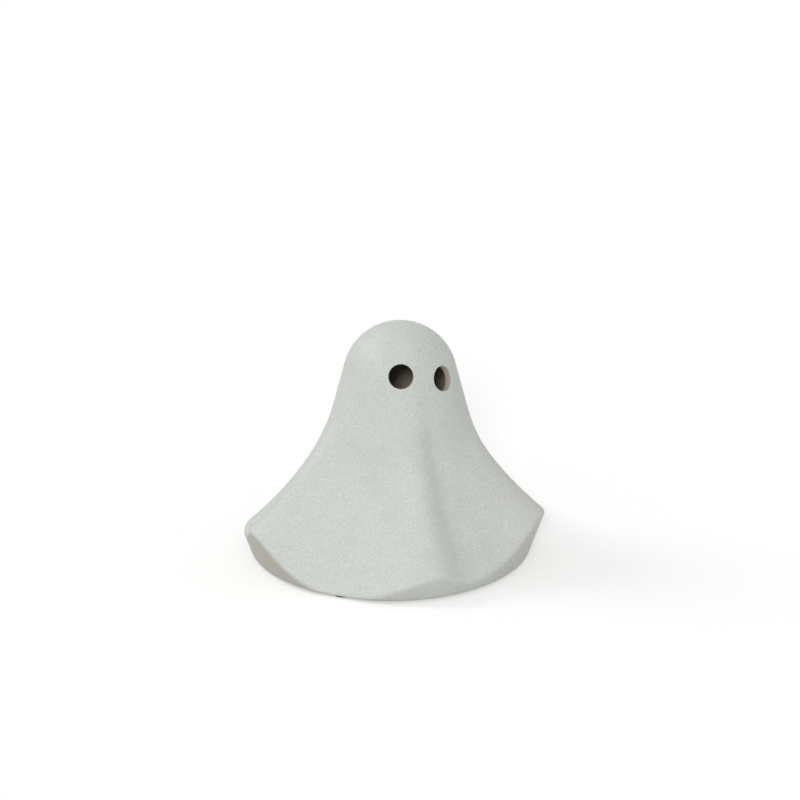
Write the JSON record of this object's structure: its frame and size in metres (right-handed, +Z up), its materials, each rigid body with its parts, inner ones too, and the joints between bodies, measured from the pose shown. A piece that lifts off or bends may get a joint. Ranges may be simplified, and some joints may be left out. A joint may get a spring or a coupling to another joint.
{
  "type": "ceramic ghost figure",
  "caption": "Hollow ceramic ghost figure: a round head running down into a flared, folded sheet, round eye holes cut through the wall and an undercut hem on a padded foot.",
  "frame": {"origin": "on the table, under the middle of the round foot", "axes": "+Z up, face towards -Y, +X to the viewer's right when facing the figure"},
  "size_m": [0.1508, 0.1456, 0.1163],
  "materials": {
    "stoneware": "slip-cast stoneware with a matt, sandy pale sage-grey glaze, bare clay inside and in the eye holes",
    "felt": "self-adhesive pressed felt"
  },
  "bodies": {
    "root": {"shell": "stoneware", "pad_1": "felt", "pad_2": "felt", "pad_3": "felt", "pad_4": "felt"}
  },
  "joints": []
}
